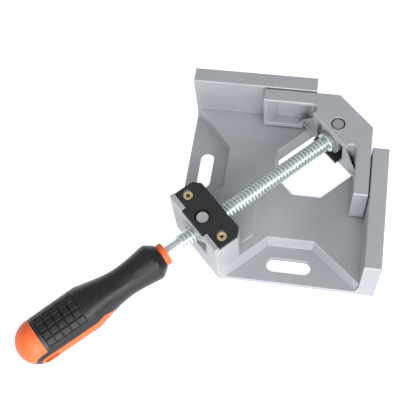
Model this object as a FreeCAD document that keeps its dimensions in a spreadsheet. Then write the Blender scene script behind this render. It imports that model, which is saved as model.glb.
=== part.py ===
import FreeCAD, Part
import math
import os
import re
import Sketcher

# A bench corner clamp: a cast base with two square fences, a swinging screw and a swivelling jaw.
# The corner datum is where the two inner fence faces would meet. Lengths are in millimetres, +Z is up.
# Flat pieces are drawn in the clamp line frame, whose first axis runs from the corner datum along the
# diagonal towards the handle and whose second axis runs across it.

DRIVING_SIZES = [
    ("corner_to_origin", 91.75, "corner datum to the middle of the base, along the diagonal"),
    ("base_span", 142.0, "inner fence face to the far edge of the base"),
    ("fence_thick", 12.2, "thickness of a fence"),
    ("fence_start", 45.4, "corner datum to the near end of a fence"),
    ("fence_top", 51.2, "height of the fences"),
    ("floor_top", 13.8, "height of the raised floor"),
    ("flange_top", 4.0, "thickness of the bench flanges"),
    ("nose_cut", 37.8, "leg of the cut-off corner behind the nut block"),
    ("cast_wall", 3.2, "wall of the casting"),
    ("core_roof", 4.0, "metal left above a fence core"),
    ("cast_round", 0.8, "radius on the upper edges of the castings"),
    ("window_round", 6.0, "radius of the window's front corners"),
    ("recess_depth", 32.2, "base edge to the inner edge of a bench recess"),
    ("recess_near", 35.0, "fence face to the near end of a recess's inner edge"),
    ("recess_slope", 14.0, "slope of a recess wall from upright, in degrees"),
    ("recess_reach", 2.5, "how far a recess starts from its far corner"),
    ("slot_width", 11.2, "width of a bench slot"),
    ("slot_length", 33.6, "length of a bench slot"),
    ("slot_edge", 14.0, "base edge to the middle line of a slot"),
    ("slot_side", 52.5, "fence face to the middle of a slot"),
    ("window_front", 90.6, "corner datum to the window's front edge"),
    ("window_back", 36.0, "corner datum to the window's back edge"),
    ("window_half", 27.0, "half width of the window"),
    ("window_side", 72.2, "fence face to the window's slanted edge"),
    ("window_slope", 8.0, "slope of the window's walls from upright, in degrees"),
    ("pad_rise", 1.4, "height of the pad before the nut block"),
    ("pad_half", 20.0, "half width of the pad"),
    ("pad_side", 81.8, "fence face to the pad's edge"),
    ("nut_inset", 9.3, "nut block's outer face to the trunnion nut's axis"),
    ("plate_inner", 15.6, "trunnion axis to the cover plate's inner edge"),
    ("plate_outer", 5.4, "trunnion axis to the cover plate's outer edge"),
    ("plate_half", 27.6, "half width of the cover plate"),
    ("plate_chamfer", 5.0, "leg of the cover plate's cut corners"),
    ("plate_thick", 3.0, "thickness of both black plates"),
    ("plate_rise", 16.6, "screw's axis to the cover plate's top"),
    ("tongue_half", 13.0, "half width of a plate's tongue"),
    ("tongue_reach", 3.2, "how far a plate's tongue stands out"),
    ("shoulder_rise", 1.0, "how far the block's shoulders stand above the cover plate"),
    ("mouth_top_half", 10.4, "half width of the nut block's mouth at its roof"),
    ("mouth_low_half", 7.4, "half width of the nut block's mouth at its floor"),
    ("mouth_over", 9.5, "screw's axis to the mouth's roof"),
    ("mouth_under", 12.0, "screw's axis to the mouth's floor"),
    ("nut_floor", 14.6, "height of the floor under the trunnion nut"),
    ("mouth_flare", 9.0, "radius where the mouth's sides run into the block's outer face"),
    ("nut_round", 16.0, "diameter of the trunnion nut"),
    ("journal_round", 9.2, "diameter of the trunnion nut's journals"),
    ("journal_sunk", 1.3, "cover plate's top to the upper journal's top"),
    ("journal_relief", 11.2, "diameter of the relief round the upper journal"),
    ("relief_depth", 1.8, "depth of that relief"),
    ("journal_depth", 6.0, "length of the trunnion nut's lower journal"),
    ("nut_clear", 0.3, "radial clearance round the trunnion nut's barrel"),
    ("running_gap", 0.06, "radial clearance of a running fit"),
    ("free_gap", 0.3, "clearance between parts that pass each other"),
    ("seat_gap", 0.2, "clearance around a seated plate"),
    ("plate_screw_side", 20.8, "clamp line to a cover plate screw"),
    ("plate_screw_ahead", 2.0, "trunnion axis to the cover plate screws, towards the corner"),
    ("screw_round", 4.0, "diameter of a plate screw"),
    ("screw_head", 7.3, "diameter of a plate screw's head"),
    ("screw_sink", 8.8, "diameter of a countersink at the plate's face"),
    ("screw_length", 12.0, "length of a cover plate screw"),
    ("spindle_height", 34.0, "height of the screw's axis"),
    ("thread_round", 12.0, "diameter of the screw over its thread"),
    ("thread_behind", 23.2, "trunnion axis to the handle end of the thread"),
    ("shank_round", 8.8, "diameter of the screw's plain shank"),
    ("collar_round", 16.0, "diameter of the thrust collar"),
    ("collar_thick", 3.0, "thickness of the thrust collar"),
    ("tip_round", 8.0, "diameter of the screw's turned tip"),
    ("clip_groove", 6.2, "diameter at the bottom of the clip groove"),
    ("tip_behind", 1.2, "retaining clip to the end of the screw's tip"),
    ("screw_chamfer", 1.2, "chamfer at both ends of the thread"),
    ("tip_chamfer", 0.5, "chamfer at the end of the screw's tip"),
    ("washer_round", 17.4, "diameter of the thrust washer"),
    ("washer_thick", 0.8, "thickness of both washers"),
    ("end_washer_round", 14.0, "diameter of the washer behind the pivot block"),
    ("clip_round", 12.4, "diameter of the retaining clip"),
    ("clip_thick", 1.0, "thickness of the retaining clip"),
    ("jaw_pin_distance", 38.2, "corner datum to the jaw's pivot axis"),
    ("jaw_gap", 0.9, "fence face to the closed jaw"),
    ("jaw_crown", 5.4, "metal from the jaw mouth's roof to the jaw's top"),
    ("jaw_clear", 1.2, "floor to the jaw's underside"),
    ("jaw_reach", 85.5, "corner datum to the end of a jaw arm"),
    ("jaw_arm", 10.8, "thickness of a jaw arm"),
    ("jaw_chamfer", 27.5, "corner datum to the ends of the jaw's cut corner"),
    ("jaw_face", 47.0, "corner datum to the top of the jaw's inner diagonal face"),
    ("jaw_lean", 2.7, "how far that face leans back at its foot"),
    ("jaw_roof", 2.8, "thickness of a jaw arm's roof"),
    ("jaw_shelf", 4.5, "thickness of a jaw arm's lower shelf"),
    ("jaw_skin", 2.6, "thickness of a jaw arm's pressing wall"),
    ("hollow_depth", 11.0, "inner diagonal face to the bottom of an arm's hollow, along the diagonal"),
    ("notch_end", 44.0, "corner datum to the round end of a roof notch, along the fence"),
    ("notch_side", 19.2, "fence face to the far side of a roof notch"),
    ("notch_floor", 2.0, "metal between the jaw plate and the floor under a roof notch"),
    ("gusset_drop", 8.6, "jaw's top to the high end of a gusset"),
    ("gusset_out", 35.0, "clamp line to the low end of a gusset"),
    ("gusset_thick", 2.2, "thickness of a gusset"),
    ("jaw_mouth_front", 16.0, "half width of the jaw's mouth at its face"),
    ("jaw_mouth_back", 12.3, "half width of the jaw's mouth inside"),
    ("mouth_rise", 11.2, "screw's axis to the jaw mouth's roof"),
    ("jaw_mouth_end", 24.0, "corner datum to the back of the jaw's mouth"),
    ("pivot_round", 8.6, "diameter of the pivot block's journals"),
    ("pivot_sunk", 0.9, "jaw's top to the upper journal's top"),
    ("pivot_relief", 10.9, "diameter of the relief round the pivot block's upper journal"),
    ("pivot_relief_depth", 4.0, "depth of that relief"),
    ("block_half", 10.1, "half width of the pivot block"),
    ("block_reach", 7.3, "pivot axis to the pivot block's front face"),
    ("block_round", 10.4, "radius under the pivot block, about the screw"),
    ("lower_plate_half", 19.6, "half width of the jaw plate"),
    ("lower_plate_inner", 10.6, "pivot axis to the jaw plate's inner edge"),
    ("lower_plate_outer", 5.4, "pivot axis to the jaw plate's outer edge"),
    ("lower_plate_chamfer", 4.0, "leg of the jaw plate's cut corners"),
    ("block_under", 0.8, "pivot block's underside to the jaw plate"),
    ("lower_tongue_reach", 5.8, "how far the jaw plate's tongue stands out"),
    ("lower_screw_side", 15.4, "clamp line to a jaw plate screw"),
    ("lower_screw_ahead", 5.2, "pivot axis to the jaw plate screws, towards the corner"),
    ("lower_screw_length", 10.0, "length of a jaw plate screw"),
    ("shank_shown", 11.4, "end of the thread to the handle's front ring"),
    ("ring_long", 4.8, "length of the handle's front ring"),
    ("ring_round", 17.0, "diameter of the handle's front ring"),
    ("core_round", 19.0, "diameter of the handle's core under the grip"),
    ("tang_long", 62.0, "length of the screw's tang inside the handle"),
    ("nose_round", 19.4, "diameter of the grip at its front"),
    ("bulge_round", 28.2, "diameter of the grip's front bulge"),
    ("bulge_place", 7.6, "grip's front to the middle of the bulge"),
    ("bulge_curve", 4.8, "profile radius of the bulge"),
    ("waist_round", 23.2, "diameter of the grip's waist"),
    ("waist_share", 0.48, "share of the way to the knee at which the waist lies"),
    ("waist_dip", 7.05, "depth of the waist's curve over the length before the knee"),
    ("knee_round", 34.3, "diameter of the grip's knee"),
    ("knee_from_end", 55.4, "knee to the end of the handle"),
    ("knee_curve", 9.0, "profile radius of the knee"),
    ("butt_round", 33.4, "diameter of the handle's butt"),
    ("handle_long", 120.0, "length of the handle behind its front ring"),
    ("stripe_half", 5.4, "half width of the core's side panels"),
    ("stripe_taper", 8.8, "length of a side panel's pointed tip"),
    ("stripe_ahead", 7.6, "a side panel's full width to the knee"),
    ("stripe_from_end", 10.5, "round end of a side panel to the end of the handle"),
    ("rim_width", 3.6, "width of the grip's rim round the end of a side panel"),
    ("butt_shown", 17.7, "end of the grip between the side panels to the end of the handle"),
    ("loop_width", 6.0, "width of the hanging slot"),
    ("loop_length", 11.2, "length of the hanging slot"),
    ("loop_from_end", 18.2, "middle of the hanging slot to the end of the handle"),
    ("handle_roll", 2.5, "how far the handle is turned about the screw, in degrees"),
    ("cut_over", 1.0, "how far a cut runs past the metal"),
]

# Places worked out from the driving sizes, each written as a formula of other names.
WORKED_SIZES = {
    "block_face": "sqrt(2) * base_span - nose_cut / sqrt(2)",
    "nut_distance": "block_face - nut_inset",
    "block_half_width": "plate_half + seat_gap",
    "plate_top": "spindle_height + plate_rise",
    "plate_seat": "plate_top - plate_thick",
    "plate_in": "nut_distance - plate_inner",
    "plate_out": "nut_distance + plate_outer",
    "nut_low": "nut_floor + seat_gap",
    "nut_high": "plate_seat - free_gap",
    "journal_foot": "nut_low - journal_depth",
    "journal_top": "plate_top - journal_sunk",
    "head_sunk": "(screw_sink - screw_head) / 2 - running_gap",
    "jaw_face_in": "jaw_gap + jaw_arm",
    "jaw_mouth_top": "spindle_height + mouth_rise",
    "jaw_top": "jaw_mouth_top + jaw_crown",
    "jaw_bottom": "floor_top + jaw_clear",
    "shelf_top": "jaw_bottom + jaw_shelf",
    "jaw_front_cut": "jaw_face + cut_over",
    "lower_plate_top": "spindle_height - block_round - block_under",
    "lower_plate_in": "jaw_pin_distance - lower_plate_inner",
    "lower_plate_out": "jaw_pin_distance + lower_plate_outer",
    "block_front": "jaw_pin_distance + block_reach",
    "block_back": "jaw_pin_distance - block_reach",
    "block_top": "jaw_mouth_top - free_gap",
    "collar_front": "block_front + washer_thick + free_gap",
    "collar_back": "collar_front + collar_thick",
    "end_washer_front": "block_back - seat_gap",
    "clip_front": "end_washer_front - washer_thick - seat_gap",
    "tip_end": "clip_front - clip_thick - tip_behind",
    "thread_end": "nut_distance + thread_behind",
    "ring_front": "thread_end + shank_shown",
    "grip_front": "ring_front + ring_long",
    "butt_centre": "handle_long - butt_round / 2",
    "knee_place": "handle_long - knee_from_end",
    "waist_place": "waist_share * knee_place",
    "waist_curve": "knee_place * knee_place / (8 * waist_dip)",
    "stripe_knee": "knee_place - stripe_ahead",
    "stripe_tip": "stripe_knee - stripe_taper",
    "stripe_end": "handle_long - stripe_from_end",
    "grip_end": "handle_long - butt_shown",
    "loop_place": "handle_long - loop_from_end",
}

document = FreeCAD.newDocument("corner_clamp")
sheet = document.addObject("Spreadsheet::Sheet", "Sizes")
for row, (alias, value, meaning) in enumerate(DRIVING_SIZES, start=1):
    sheet.set("A%d" % row, meaning)
    sheet.set("B%d" % row, str(value))
    sheet.setAlias("B%d" % row, alias)
document.recompute()

UP = FreeCAD.Vector(0, 0, 1)
ALIASES = {alias for alias, value, meaning in DRIVING_SIZES}
WORD = re.compile(r"[a-z_]+")
FUNCTIONS = {"sqrt", "tan", "cos", "sin", "min", "max"}


def formula(text):
    """Turns a formula of size names into one that the document understands."""
    def known(match):
        word = match.group(0)
        if word in WORKED_SIZES:
            return "(" + formula(WORKED_SIZES[word]) + ")"
        if word in ALIASES:
            return "Sizes." + word
        if word in FUNCTIONS:
            return word
        raise ValueError("no size is called " + word)
    return WORD.sub(known, str(text))


def number(text):
    """The value of a formula now, in millimetres or degrees."""
    return float(sheet.evalExpression(formula(text)))


def bind(item, prop, text):
    """Binds a property to a formula of size names."""
    item.setExpression(prop, formula(text))


def plane(body, role):
    """One of the body's own origin planes."""
    for feature in body.Origin.OriginFeatures:
        if feature.Role == role:
            return feature
    raise ValueError(role)


def new_body(name):
    """A body whose label is the name of the finished piece."""
    body = document.addObject("PartDesign::Body", name)
    body.Label = name
    return body


ON_FENCES = FreeCAD.Rotation(UP, -45)
ON_CLAMP_LINE = FreeCAD.Rotation(UP, 180)
LINE_FROM_FENCES = FreeCAD.Rotation(UP, 225)
ACROSS_LINE = FreeCAD.Rotation(FreeCAD.Vector(0, 1, 0), UP, FreeCAD.Vector(1, 0, 0), "ZXY")
ALONG_LINE = FreeCAD.Rotation(FreeCAD.Vector(1, 0, 0), UP, FreeCAD.Vector(0, -1, 0), "ZXY")


def place(item, ahead="0", side="0", height="0", rotation=ON_CLAMP_LINE):
    """Puts a piece at a distance from the corner datum, to one side, and at a height."""
    item.Placement = FreeCAD.Placement(FreeCAD.Vector(), rotation)
    bind(item, "Placement.Base.x", "corner_to_origin - (%s)" % ahead)
    bind(item, "Placement.Base.y", "-(%s)" % side)
    bind(item, "Placement.Base.z", height)


def plain_sketch(body, name, role="XZ_Plane"):
    """A sketch on one of the body's own origin planes."""
    sketch = body.newObject("Sketcher::SketchObject", name)
    sketch.AttachmentSupport = [(plane(body, role), "")]
    sketch.MapMode = "FlatFace"
    return sketch


def new_sketch(body, name, height="0", rotation=None, ahead="0", side="0"):
    """A sketch on the body's ground plane, turned and then moved by bound distances."""
    sketch = plain_sketch(body, name, "XY_Plane")
    sketch.AttachmentOffset = FreeCAD.Placement(FreeCAD.Vector(), rotation or FreeCAD.Rotation())
    bind(sketch, "AttachmentOffset.Base.z", height)
    bind(sketch, "AttachmentOffset.Base.x", ahead)
    bind(sketch, "AttachmentOffset.Base.y", side)
    return sketch


def hold_point(sketch, geometry, point, across, along):
    """Holds a point at bound distances from the sketch's origin."""
    sketch.addConstraint(Sketcher.Constraint("DistanceX", -1, 1, geometry, point, number(across)))
    bind(sketch, "Constraints[%d]" % (sketch.ConstraintCount - 1), across)
    sketch.addConstraint(Sketcher.Constraint("DistanceY", -1, 1, geometry, point, number(along)))
    bind(sketch, "Constraints[%d]" % (sketch.ConstraintCount - 1), along)


def draw_outline(sketch, corners):
    """Draws a closed outline of straight lines through corners given as pairs of formulas."""
    points = [FreeCAD.Vector(number(across), number(along), 0) for across, along in corners]
    first = sketch.GeometryCount
    count = len(points)
    for index in range(count):
        sketch.addGeometry(Part.LineSegment(points[index], points[(index + 1) % count]), False)
    for index in range(count):
        following = first + (index + 1) % count
        sketch.addConstraint(Sketcher.Constraint("Coincident", first + index, 2, following, 1))
        hold_point(sketch, first + index, 1, *corners[index])


def draw_circle(sketch, across, along, diameter):
    """Draws a circle with a bound centre and diameter."""
    centre = FreeCAD.Vector(number(across), number(along), 0)
    radius = number("(%s) / 2" % diameter)
    index = sketch.addGeometry(Part.Circle(centre, UP, radius), False)
    hold_point(sketch, index, 3, across, along)
    sketch.addConstraint(Sketcher.Constraint("Diameter", index, 2 * radius))
    bind(sketch, "Constraints[%d]" % (sketch.ConstraintCount - 1), diameter)


def draw_slot(sketch, across, along, length, width, lengthwise=True):
    """Draws a slot with round ends about a centre, its length along the first or the second axis."""
    half = "((%s) - (%s)) / 2" % (length, width)
    radius = number("(%s) / 2" % width)
    shift = FreeCAD.Vector(1, 0, 0) if lengthwise else FreeCAD.Vector(0, 1, 0)
    aside = FreeCAD.Vector(0, 1, 0) if lengthwise else FreeCAD.Vector(-1, 0, 0)
    centre = FreeCAD.Vector(number(across), number(along), 0)
    far = centre + shift * number(half)
    near = centre - shift * number(half)
    quarter = math.pi / 2
    base = 0.0 if lengthwise else quarter
    far_end = Part.Circle(far, UP, radius)
    near_end = Part.Circle(near, UP, radius)
    start = sketch.GeometryCount
    sketch.addGeometry(Part.ArcOfCircle(far_end, base - quarter, base + quarter))
    sketch.addGeometry(Part.LineSegment(far + aside * radius, near + aside * radius))
    sketch.addGeometry(Part.ArcOfCircle(near_end, base + quarter, base + 3 * quarter))
    sketch.addGeometry(Part.LineSegment(near - aside * radius, far - aside * radius))
    sketch.addConstraint(Sketcher.Constraint("Tangent", start, 2, start + 1, 1))
    sketch.addConstraint(Sketcher.Constraint("Tangent", start + 1, 2, start + 2, 1))
    sketch.addConstraint(Sketcher.Constraint("Tangent", start + 2, 2, start + 3, 1))
    sketch.addConstraint(Sketcher.Constraint("Tangent", start + 3, 2, start, 1))
    for geometry, sign in ((start, "+"), (start + 2, "-")):
        place_across = "(%s) %s (%s)" % (across, sign, half) if lengthwise else across
        place_along = along if lengthwise else "(%s) %s (%s)" % (along, sign, half)
        hold_point(sketch, geometry, 3, place_across, place_along)
    sketch.addConstraint(Sketcher.Constraint("Radius", start, radius))
    bind(sketch, "Constraints[%d]" % (sketch.ConstraintCount - 1), "(%s) / 2" % width)


def add_pad(body, sketch, length, name, reversed_way=False):
    """Raises a sketch by a bound length."""
    pad = body.newObject("PartDesign::Pad", name)
    pad.Profile = sketch
    pad.Reversed = reversed_way
    bind(pad, "Length", length)
    return pad


def add_pocket(body, sketch, length, name, reversed_way=False, slope=None):
    """Cuts a sketch to a bound depth and makes sure that it removed metal."""
    document.recompute()
    before = body.Shape.Volume
    pocket = body.newObject("PartDesign::Pocket", name)
    pocket.Profile = sketch
    pocket.Reversed = reversed_way
    bind(pocket, "Length", length)
    if slope:
        bind(pocket, "TaperAngle", slope)
    document.recompute()
    if body.Shape.Volume >= before - 1e-6:
        raise RuntimeError(name + " cuts nothing")
    return pocket


def cut_both_ways(body, sketch, length, name):
    """Cuts a sketch over a bound length, half of it to each side of the sketch's plane."""
    document.recompute()
    cut = body.newObject("PartDesign::Pocket", name)
    cut.Profile = sketch
    cut.Midplane = True
    bind(cut, "Length", length)
    document.recompute()
    return cut


def add_turning(body, sketch, name, axis="H_Axis"):
    """Revolves a half profile once round one of the sketch's own axes."""
    turning = body.newObject("PartDesign::Revolution", name)
    turning.Profile = sketch
    turning.ReferenceAxis = (sketch, [axis])
    turning.Angle = 360.0
    return turning


def level_edges(shape, height):
    """Names of the straight edges that lie at a height."""
    names = []
    for index, edge in enumerate(shape.Edges, start=1):
        ends = [vertex.Z for vertex in edge.Vertexes]
        straight = edge.Curve.TypeId == "Part::GeomLine"
        if straight and max(abs(end - height) for end in ends) < 1e-3:
            names.append("Edge%d" % index)
    return names


def edges_at(shape, point, reach=0.1):
    """Names of the edges that pass within a reach of a point."""
    target = Part.Vertex(point)
    return ["Edge%d" % index for index, edge in enumerate(shape.Edges, start=1)
            if edge.distToShape(target)[0] < reach]


def line_point(ahead, side, height):
    """The fence frame's point at a distance along the clamp line, to one side and at a height."""
    along = number(ahead)
    across = number(side)
    root = math.sqrt(2)
    return FreeCAD.Vector((across - along) / root, -(across + along) / root, number(height))


def round_edges(body, names, radius, name):
    """Rounds the named edges of the body."""
    base = body.Tip
    rounding = body.newObject("PartDesign::Fillet", name)
    rounding.Base = (base, names)
    bind(rounding, "Radius", radius)
    document.recompute()
    return rounding


def mirrored(corners):
    """The same outline on the other side of the diagonal, in the fence frame."""
    return [(along, across) for across, along in corners]


def make_base_frame():
    """The cast base: fences, raised floor, bench flanges, window, nut block and cored underside."""
    body = new_body("base_frame")

    floor = new_sketch(body, "floor_outline")
    draw_outline(floor, [
        ("-base_span", "fence_thick"),
        ("-fence_start", "fence_thick"),
        ("-fence_start", "0"),
        ("0", "-fence_start"),
        ("fence_thick", "-fence_start"),
        ("fence_thick", "-base_span"),
        ("nose_cut - base_span", "-base_span"),
        ("-base_span", "nose_cut - base_span"),
    ])
    add_pad(body, floor, "floor_top", "floor")

    fence = [("-base_span", "0"), ("-fence_start", "0"),
             ("-fence_start", "fence_thick"), ("-base_span", "fence_thick")]
    fences = new_sketch(body, "fence_outlines")
    draw_outline(fences, fence)
    draw_outline(fences, mirrored(fence))
    add_pad(body, fences, "fence_top", "fences")

    # The bench recesses: flat flanges below the floor with sloped walls, open at the base's edge.
    outside = "-base_span - fence_thick"
    recess = [
        ("recess_reach - base_span", "0"),
        ("recess_depth - base_span", "-recess_near"),
        ("recess_depth - base_span", "recess_depth - base_span + sqrt(2) * block_half_width"),
        (outside, outside + " + sqrt(2) * block_half_width"),
        (outside, "0"),
    ]
    for side, outline in (("left", recess), ("right", mirrored(recess))):
        sketch = new_sketch(body, side + "_recess_outline", height="floor_top")
        draw_outline(sketch, outline)
        add_pocket(body, sketch, "floor_top - flange_top", side + "_recess", slope="-recess_slope")

    slots = new_sketch(body, "slot_outlines")
    draw_slot(slots, "slot_edge - base_span", "-slot_side", "slot_length", "slot_width", lengthwise=False)
    draw_slot(slots, "-slot_side", "slot_edge - base_span", "slot_length", "slot_width")
    add_pocket(body, slots, "floor_top", "bench_slots", reversed_way=True)

    # The nut block stands on the clamp line behind the floor, with its shoulders outside the plate.
    block = new_sketch(body, "block_outline", rotation=LINE_FROM_FENCES)
    block_inner = "plate_in - seat_gap"
    draw_outline(block, [
        (block_inner, "plate_chamfer - block_half_width"),
        (block_inner + " + plate_chamfer", "-block_half_width"),
        ("block_face", "-block_half_width"),
        ("block_face", "block_half_width"),
        (block_inner + " + plate_chamfer", "block_half_width"),
        (block_inner, "block_half_width - plate_chamfer"),
    ])
    add_pad(body, block, "plate_seat", "nut_block")
    shoulders = new_sketch(body, "shoulder_outlines", rotation=LINE_FROM_FENCES)
    for sign in ("", "-"):
        draw_outline(shoulders, [
            ("plate_out + seat_gap", sign + "(tongue_half + seat_gap)"),
            ("block_face", sign + "(tongue_half + seat_gap)"),
            ("block_face", sign + "block_half_width"),
            ("plate_out + seat_gap", sign + "block_half_width"),
        ])
    add_pad(body, shoulders, "plate_top + shoulder_rise", "shoulders")

    pad = new_sketch(body, "pad_outline")
    pad_far = "(nut_distance - plate_inner) / sqrt(2)"
    draw_outline(pad, [
        ("-pad_side", "-pad_side"),
        ("-pad_side", "-pad_side - sqrt(2) * pad_half"),
        ("-(%s) + pad_half / sqrt(2)" % pad_far, "-(%s) - pad_half / sqrt(2)" % pad_far),
        ("-(%s) - pad_half / sqrt(2)" % pad_far, "-(%s) + pad_half / sqrt(2)" % pad_far),
        ("-pad_side - sqrt(2) * pad_half", "-pad_side"),
    ])
    add_pad(body, pad, "floor_top + pad_rise", "floor_pad")

    window = new_sketch(body, "window_outline", height="floor_top", rotation=LINE_FROM_FENCES)
    window_turn = "sqrt(2) * window_side - window_front"
    draw_outline(window, [
        ("window_back", "-window_half"),
        ("sqrt(2) * window_side - window_half", "-window_half"),
        ("window_front", "-(%s)" % window_turn),
        ("window_front", window_turn),
        ("sqrt(2) * window_side - window_half", "window_half"),
        ("window_back", "window_half"),
    ])
    add_pocket(body, window, "floor_top + running_gap", "window", slope="-window_slope")

    front_corners = []
    for sign in ("", "-"):
        middle = line_point("window_front - floor_top * tan(window_slope) / 2",
                            sign + "(%s - floor_top * tan(window_slope) / 4)" % window_turn, "floor_top / 2")
        front_corners += edges_at(body.Shape, middle, reach=1.0)
    round_edges(body, front_corners, "window_round", "window_rounds")
    round_edges(body, level_edges(body.Shape, number("fence_top")), "cast_round", "fence_rounds")

    # The mouth lets the screw swing: a passage along the clamp line that opens out to the block's faces.
    outside_block = "-(block_face + cut_over) / sqrt(2)"
    mouth_low = "spindle_height - mouth_under"
    mouth_high = "spindle_height + mouth_over"
    mouth = new_sketch(body, "mouth_outline", rotation=LINE_FROM_FENCES.multiply(ACROSS_LINE),
                       ahead=outside_block, side=outside_block)
    draw_outline(mouth, [
        ("-mouth_low_half", mouth_low),
        ("mouth_low_half", mouth_low),
        ("mouth_top_half", mouth_high),
        ("-mouth_top_half", mouth_high),
    ])
    add_pocket(body, mouth, "block_face + 2 * cut_over - plate_in + plate_chamfer", "mouth")
    flares = []
    for sign in ("", "-"):
        half_way = sign + "(mouth_low_half + mouth_top_half) / 2"
        middle = line_point("block_face", half_way, "(%s + %s) / 2" % (mouth_low, mouth_high))
        flares += edges_at(body.Shape, middle)
    round_edges(body, flares, "mouth_flare", "mouth_flares")

    nut_bore = new_sketch(body, "nut_bore_outline", height="plate_top + shoulder_rise",
                          rotation=LINE_FROM_FENCES)
    draw_circle(nut_bore, "nut_distance", "0", "nut_round + 2 * nut_clear")
    add_pocket(body, nut_bore, "plate_top + shoulder_rise - nut_floor", "nut_bore")
    journal_bore = new_sketch(body, "journal_bore_outline", height="nut_floor",
                              rotation=LINE_FROM_FENCES)
    draw_circle(journal_bore, "nut_distance", "0", "journal_round + 2 * running_gap")
    add_pocket(body, journal_bore, "nut_floor - journal_foot + seat_gap", "journal_bore")

    screw_bores = new_sketch(body, "screw_bore_outlines", height="plate_seat",
                             rotation=LINE_FROM_FENCES)
    for sign in ("", "-"):
        draw_circle(screw_bores, "nut_distance - plate_screw_ahead", sign + "plate_screw_side",
                    "screw_round + 2 * running_gap")
    add_pocket(body, screw_bores, "screw_length", "screw_bores")

    # The underside is cored: cells between walls and ribs, deep under the fences.
    inner_recess = "recess_depth - base_span + cast_wall"
    window_wall = "window_side + cast_wall"
    long_cell = [
        ("-(fence_start + cast_wall)", "-cast_wall"),
        ("recess_reach - base_span + 2 * cast_wall", "-cast_wall"),
        (inner_recess, "-recess_near + cast_wall / 2"),
        ("-(sqrt(2) * (window_half + cast_wall) + recess_near - cast_wall / 2)",
         "-recess_near + cast_wall / 2"),
        ("-(fence_start + cast_wall)",
         "-(fence_start + cast_wall) + sqrt(2) * (window_half + cast_wall)"),
    ]
    square_cell = [
        (inner_recess, "-recess_near - cast_wall"),
        ("-(%s)" % window_wall, "-recess_near - cast_wall"),
        ("-(%s)" % window_wall, "cast_wall / 2 - window_side"),
        (inner_recess, "cast_wall / 2 - window_side"),
    ]
    cell_stop = "plate_in - seat_gap - cast_wall"
    middle_cell = [
        ("-(%s)" % window_wall, "-(%s)" % window_wall),
        (inner_recess, "-(%s)" % window_wall),
        (inner_recess, "-sqrt(2) * (%s) - (%s)" % (cell_stop, inner_recess)),
        ("-sqrt(2) * (%s) - (%s)" % (cell_stop, inner_recess), inner_recess),
        ("-(%s)" % window_wall, inner_recess),
    ]
    cells = new_sketch(body, "cell_outlines")
    for outline in (long_cell, mirrored(long_cell), square_cell, mirrored(square_cell), middle_cell):
        draw_outline(cells, outline)
    add_pocket(body, cells, "floor_top - cast_wall", "underside_cells", reversed_way=True)

    cores = new_sketch(body, "fence_core_outlines")
    core_count = 4
    core_pitch = "(base_span - fence_start - cast_wall) / %d" % core_count
    for index in range(core_count):
        start = "cast_wall - base_span + %d * (%s)" % (index, core_pitch)
        end = "-base_span + %d * (%s)" % (index + 1, core_pitch)
        core = [(start, "cast_wall"), (end, "cast_wall"),
                (end, "fence_thick - cast_wall"), (start, "fence_thick - cast_wall")]
        draw_outline(cores, core)
        draw_outline(cores, mirrored(core))
    add_pocket(body, cores, "fence_top - core_roof", "fence_cores", reversed_way=True)

    cheek_cores = new_sketch(body, "cheek_core_outlines", rotation=LINE_FROM_FENCES)
    for sign in ("", "-"):
        draw_outline(cheek_cores, [
            ("plate_in + plate_chamfer", sign + "(mouth_top_half + cast_wall)"),
            ("block_face - cast_wall", sign + "(mouth_top_half + cast_wall)"),
            ("block_face - cast_wall", sign + "(block_half_width - cast_wall)"),
            ("plate_in + plate_chamfer", sign + "(block_half_width - cast_wall)"),
        ])
    add_pocket(body, cheek_cores, "plate_seat - screw_length - core_roof", "cheek_cores",
               reversed_way=True)
    place(body, rotation=ON_FENCES)
    return body


def make_plate(name, inner, outer, half, chamfer, reach, hole, screw_ahead, screw_side, top, centre,
               relief=None):
    """A black plate with cut inner corners, a tongue, a journal hole and two countersunk screw holes.

    A plate with a relief round its journal is countersunk from above, the other one from below.
    """
    body = new_body(name)
    outline = new_sketch(body, name + "_outline")
    draw_outline(outline, [
        ("-(%s)" % inner, "%s - (%s)" % (chamfer, half)),
        ("%s - (%s)" % (chamfer, inner), "-(%s)" % half),
        (outer, "-(%s)" % half),
        (outer, "-tongue_half"),
        ("%s + %s" % (outer, reach), "-tongue_half"),
        ("%s + %s" % (outer, reach), "tongue_half"),
        (outer, "tongue_half"),
        (outer, half),
        ("%s - (%s)" % (chamfer, inner), half),
        ("-(%s)" % inner, "%s - %s" % (half, chamfer)),
    ])
    add_pad(body, outline, "plate_thick", name + "_sheet")
    hole_sketch = new_sketch(body, name + "_hole_outline")
    draw_circle(hole_sketch, "0", "0", hole)
    add_pocket(body, hole_sketch, "plate_thick", name + "_hole", reversed_way=True)
    if relief:
        relief_sketch = new_sketch(body, name + "_relief_outline", height="plate_thick")
        draw_circle(relief_sketch, "0", "0", relief)
        add_pocket(body, relief_sketch, "relief_depth", name + "_relief")
    for side, sign in (("left", "-"), ("right", "")):
        shank = new_sketch(body, name + "_shank_" + side)
        draw_circle(shank, "-(%s)" % screw_ahead, sign + "(%s)" % screw_side,
                    "screw_round + 2 * running_gap")
        add_pocket(body, shank, "plate_thick", name + "_shank_hole_" + side, reversed_way=True)
        sink = new_sketch(body, name + "_sink_" + side,
                          height="plate_thick" if relief else "0")
        draw_circle(sink, "-(%s)" % screw_ahead, sign + "(%s)" % screw_side, "screw_sink")
        add_pocket(body, sink, "(screw_sink - screw_round) / 2 - running_gap", name + "_countersink_" + side,
                   reversed_way=not relief, slope="-45")
    place(body, ahead=centre, height="%s - plate_thick" % top)
    return body


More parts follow.
